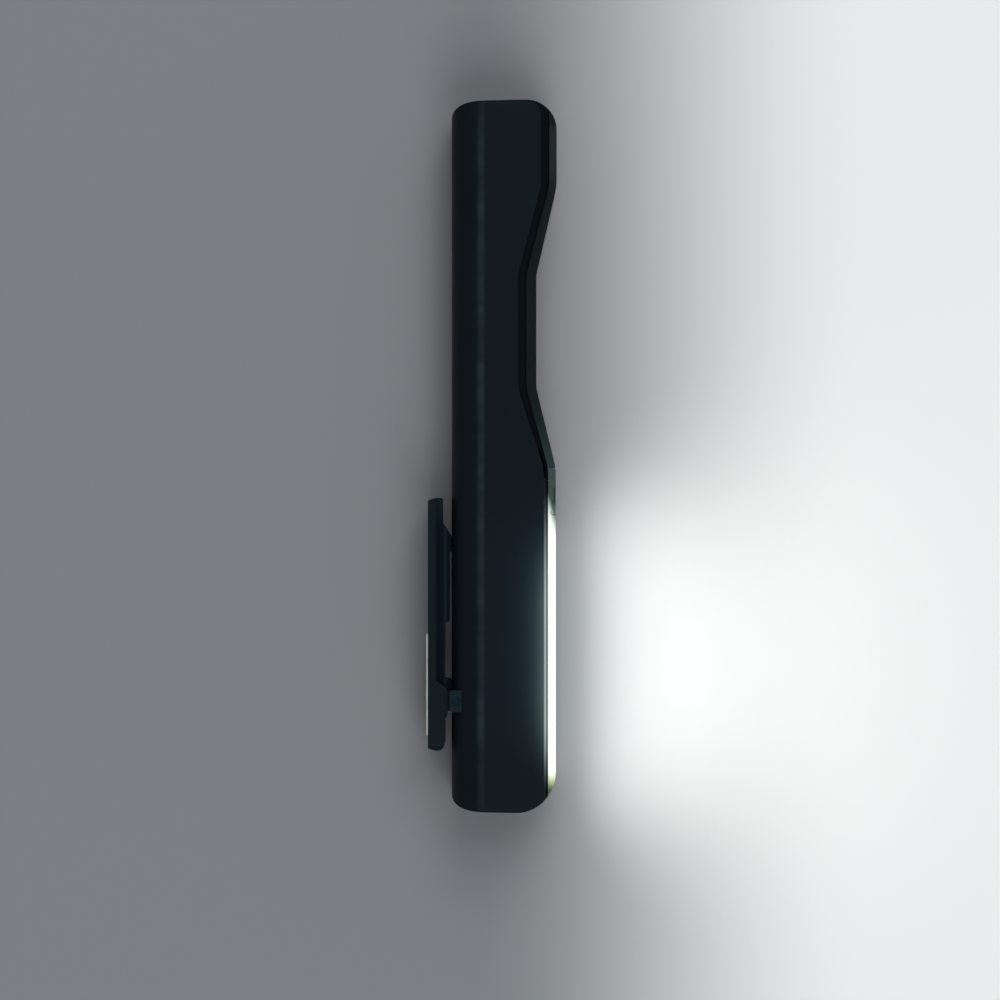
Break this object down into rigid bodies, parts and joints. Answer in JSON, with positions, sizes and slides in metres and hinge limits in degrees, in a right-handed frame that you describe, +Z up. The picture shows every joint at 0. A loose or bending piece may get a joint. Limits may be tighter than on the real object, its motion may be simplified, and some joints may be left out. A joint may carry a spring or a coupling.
{
  "type": "pocket work light",
  "caption": "Slim pocket work light with a long lit lens along its head, a waisted handle with a push button, a covered charging port and a sprung magnetic clip.",
  "frame": {"origin": "on the flat side that the lamp lies on, at its mid length and mid depth", "axes": "+X out of the lit front, +Y along the lamp towards the handle end, +Z up from the side it lies on"},
  "size_m": [0.0302, 0.165, 0.026],
  "materials": {
    "housing_plastic": "fine satin grain, near black",
    "cover_plastic": "satin, dark grey",
    "gasket_rubber": "matte black",
    "lens_plastic": "frosted, lit from behind",
    "white_plastic": "white reflector plastic",
    "white_board": "white solder mask on an aluminium core",
    "phosphor": "yellow silicone phosphor, lit",
    "aluminium_sheet": "plain folded sheet",
    "screw_steel": "zinc plated",
    "pin_steel": "black oxide",
    "cell_can": "blue shrink sleeve over the can",
    "nickel_plate": "nickel plated",
    "circuit_board": "green solder mask",
    "chip_plastic": "moulded epoxy",
    "wire_red": "soft insulation",
    "wire_black": "soft insulation",
    "button_rubber": "soft-touch, dark grey",
    "clip_plastic": "satin, near black",
    "magnet_plate": "nickel plated, satin"
  },
  "bodies": {
    "lamp": {"rear_housing": "housing_plastic", "front_cover": "cover_plastic", "rim_gasket": "gasket_rubber", "lens": "lens_plastic", "light_tray": "white_plastic", "cob_board": "white_board", "cob_emitter": "phosphor", "heat_sink": "aluminium_sheet", "cob_screw_upper": "screw_steel", "cob_screw_lower": "screw_steel", "battery_cell": "cell_can", "cell_tab_positive": "nickel_plate", "cell_tab_negative": "nickel_plate", "control_board": "circuit_board", "driver_chip": "chip_plastic", "inductor": "chip_plastic", "charge_chip": "chip_plastic", "tact_switch": "chip_plastic", "usb_socket": "nickel_plate", "usb_tongue": "chip_plastic", "board_screw_left": "screw_steel", "board_screw_right": "screw_steel", "cover_screw_upper": "screw_steel", "cover_screw_lower": "screw_steel", "wire_cell_positive": "wire_red", "wire_cell_negative": "wire_black", "wire_cob_positive": "wire_red", "wire_cob_negative": "wire_black", "clip_pin": "pin_steel", "clip_spring": "screw_steel"},
    "clip": {"clip_arm": "clip_plastic", "clip_magnet": "magnet_plate"},
    "button": {"switch_button": "button_rubber", "switch_stem": "chip_plastic"},
    "flap": {"port_flap": "gasket_rubber"}
  },
  "joints": [
    {"name": "clip_hinge", "type": "hinge", "parent": "lamp", "child": "clip", "pos_m": [-0.0111, -0.0567, 0.013], "axis": [0, 0, 1], "range_deg": [0, 9], "stiffness_Nm_per_rad": 0.3, "springref_deg": -20.05, "deforming": ["clip_spring"]},
    {"name": "button_press", "type": "slide", "parent": "lamp", "child": "button", "axis": [-1, 0, 0], "range_m": [0, 0.0006], "stiffness_N_per_m": 2500, "springref_m": -0.0002},
    {"name": "flap_hinge", "type": "hinge", "parent": "lamp", "child": "flap", "pos_m": [-0.00325, 0.08169, 0.013], "axis": [0, 0, 1], "range_deg": [0, 100], "stiffness_Nm_per_rad": 0.002}
  ]
}
